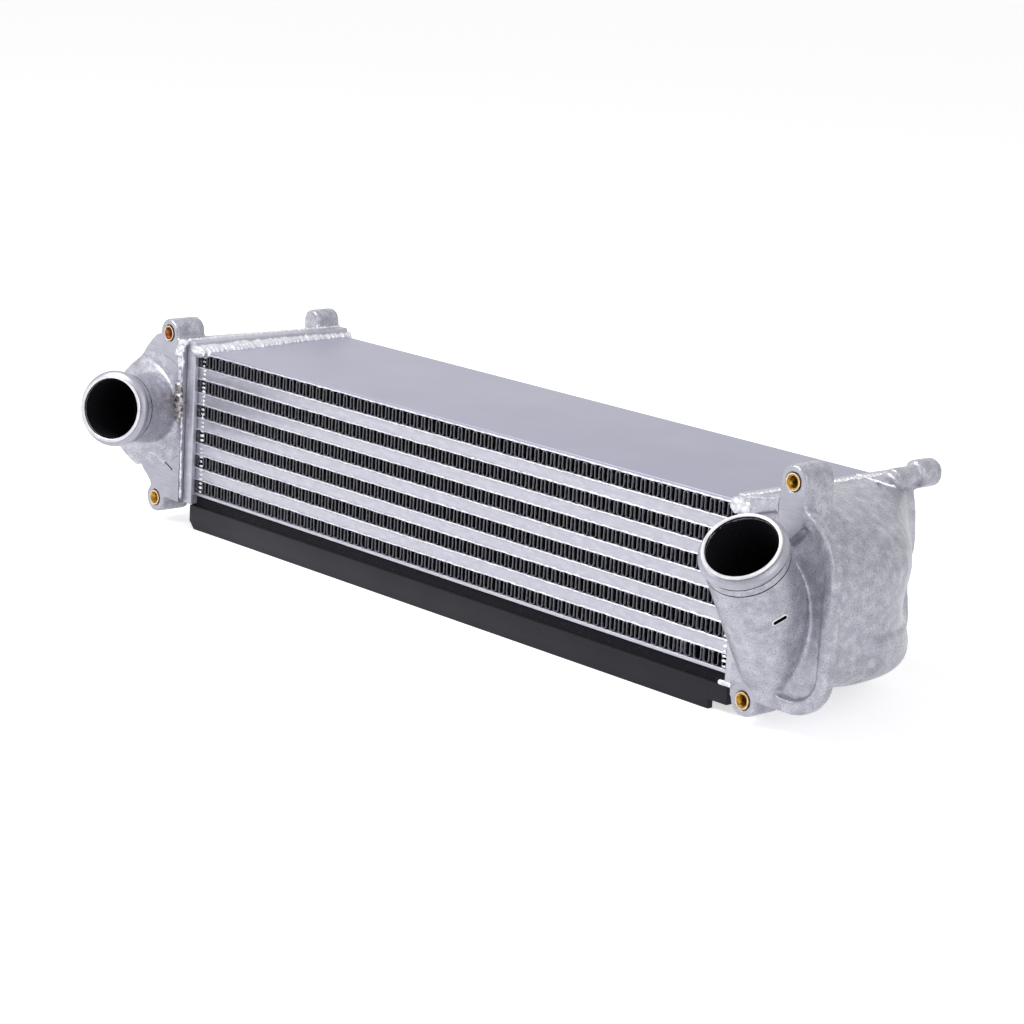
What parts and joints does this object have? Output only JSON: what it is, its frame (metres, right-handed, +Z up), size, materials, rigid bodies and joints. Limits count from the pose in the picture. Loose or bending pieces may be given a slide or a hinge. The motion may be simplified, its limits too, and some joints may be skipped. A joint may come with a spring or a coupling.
{
  "type": "intercooler",
  "caption": "Bar-and-plate air-to-air intercooler with a corrugated fin core, two cast end tanks with hose pipes and threaded bosses, and a black base seal.",
  "frame": {"origin": "middle of the whole object's footprint, on the surface that it rests on", "axes": "+X along the core from the left tank to the right tank, +Y from the front to the back, +Z up"},
  "size_m": [0.6388, 0.2128, 0.1519],
  "materials": {
    "core_plate": "satin rolled sheet",
    "core_bar": "satin drawn bar",
    "parting_sheet": "brazed sheet",
    "cooling_fin": "black coated thin sheet with bare edges",
    "inner_fin": "thin sheet",
    "cast_tank": "cast, blasted",
    "header": "sawn and ground",
    "seal": "satin moulded",
    "brass_insert": "turned"
  },
  "bodies": {
    "root": {"base_seal": "seal", "bottom_plate": "core_plate", "external_fin_1": "cooling_fin", "external_fin_2": "cooling_fin", "external_fin_3": "cooling_fin", "external_fin_4": "cooling_fin", "external_fin_5": "cooling_fin", "external_fin_6": "cooling_fin", "front_bar_1": "core_bar", "front_bar_2": "core_bar", "front_bar_3": "core_bar", "front_bar_4": "core_bar", "front_bar_5": "core_bar", "left_end_bar_1": "core_bar", "left_end_bar_2": "core_bar", "left_end_bar_3": "core_bar", "left_end_bar_4": "core_bar", "left_end_bar_5": "core_bar", "left_end_bar_6": "core_bar", "left_header": "header", "left_lower_insert": "brass_insert", "left_tank": "cast_tank", "left_upper_insert": "brass_insert", "parting_sheet_1": "parting_sheet", "parting_sheet_10": "parting_sheet", "parting_sheet_2": "parting_sheet", "parting_sheet_3": "parting_sheet", "parting_sheet_4": "parting_sheet", "parting_sheet_5": "parting_sheet", "parting_sheet_6": "parting_sheet", "parting_sheet_7": "parting_sheet", "parting_sheet_8": "parting_sheet", "parting_sheet_9": "parting_sheet", "rear_bar_1": "core_bar", "rear_bar_2": "core_bar", "rear_bar_3": "core_bar", "rear_bar_4": "core_bar", "rear_bar_5": "core_bar", "right_end_bar_1": "core_bar", "right_end_bar_2": "core_bar", "right_end_bar_3": "core_bar", "right_end_bar_4": "core_bar", "right_end_bar_5": "core_bar", "right_end_bar_6": "core_bar", "right_header": "header", "right_lower_insert": "brass_insert", "right_tank": "cast_tank", "right_upper_insert": "brass_insert", "top_plate": "core_plate", "turbulator_1": "inner_fin", "turbulator_2": "inner_fin", "turbulator_3": "inner_fin", "turbulator_4": "inner_fin", "turbulator_5": "inner_fin"}
  },
  "joints": []
}
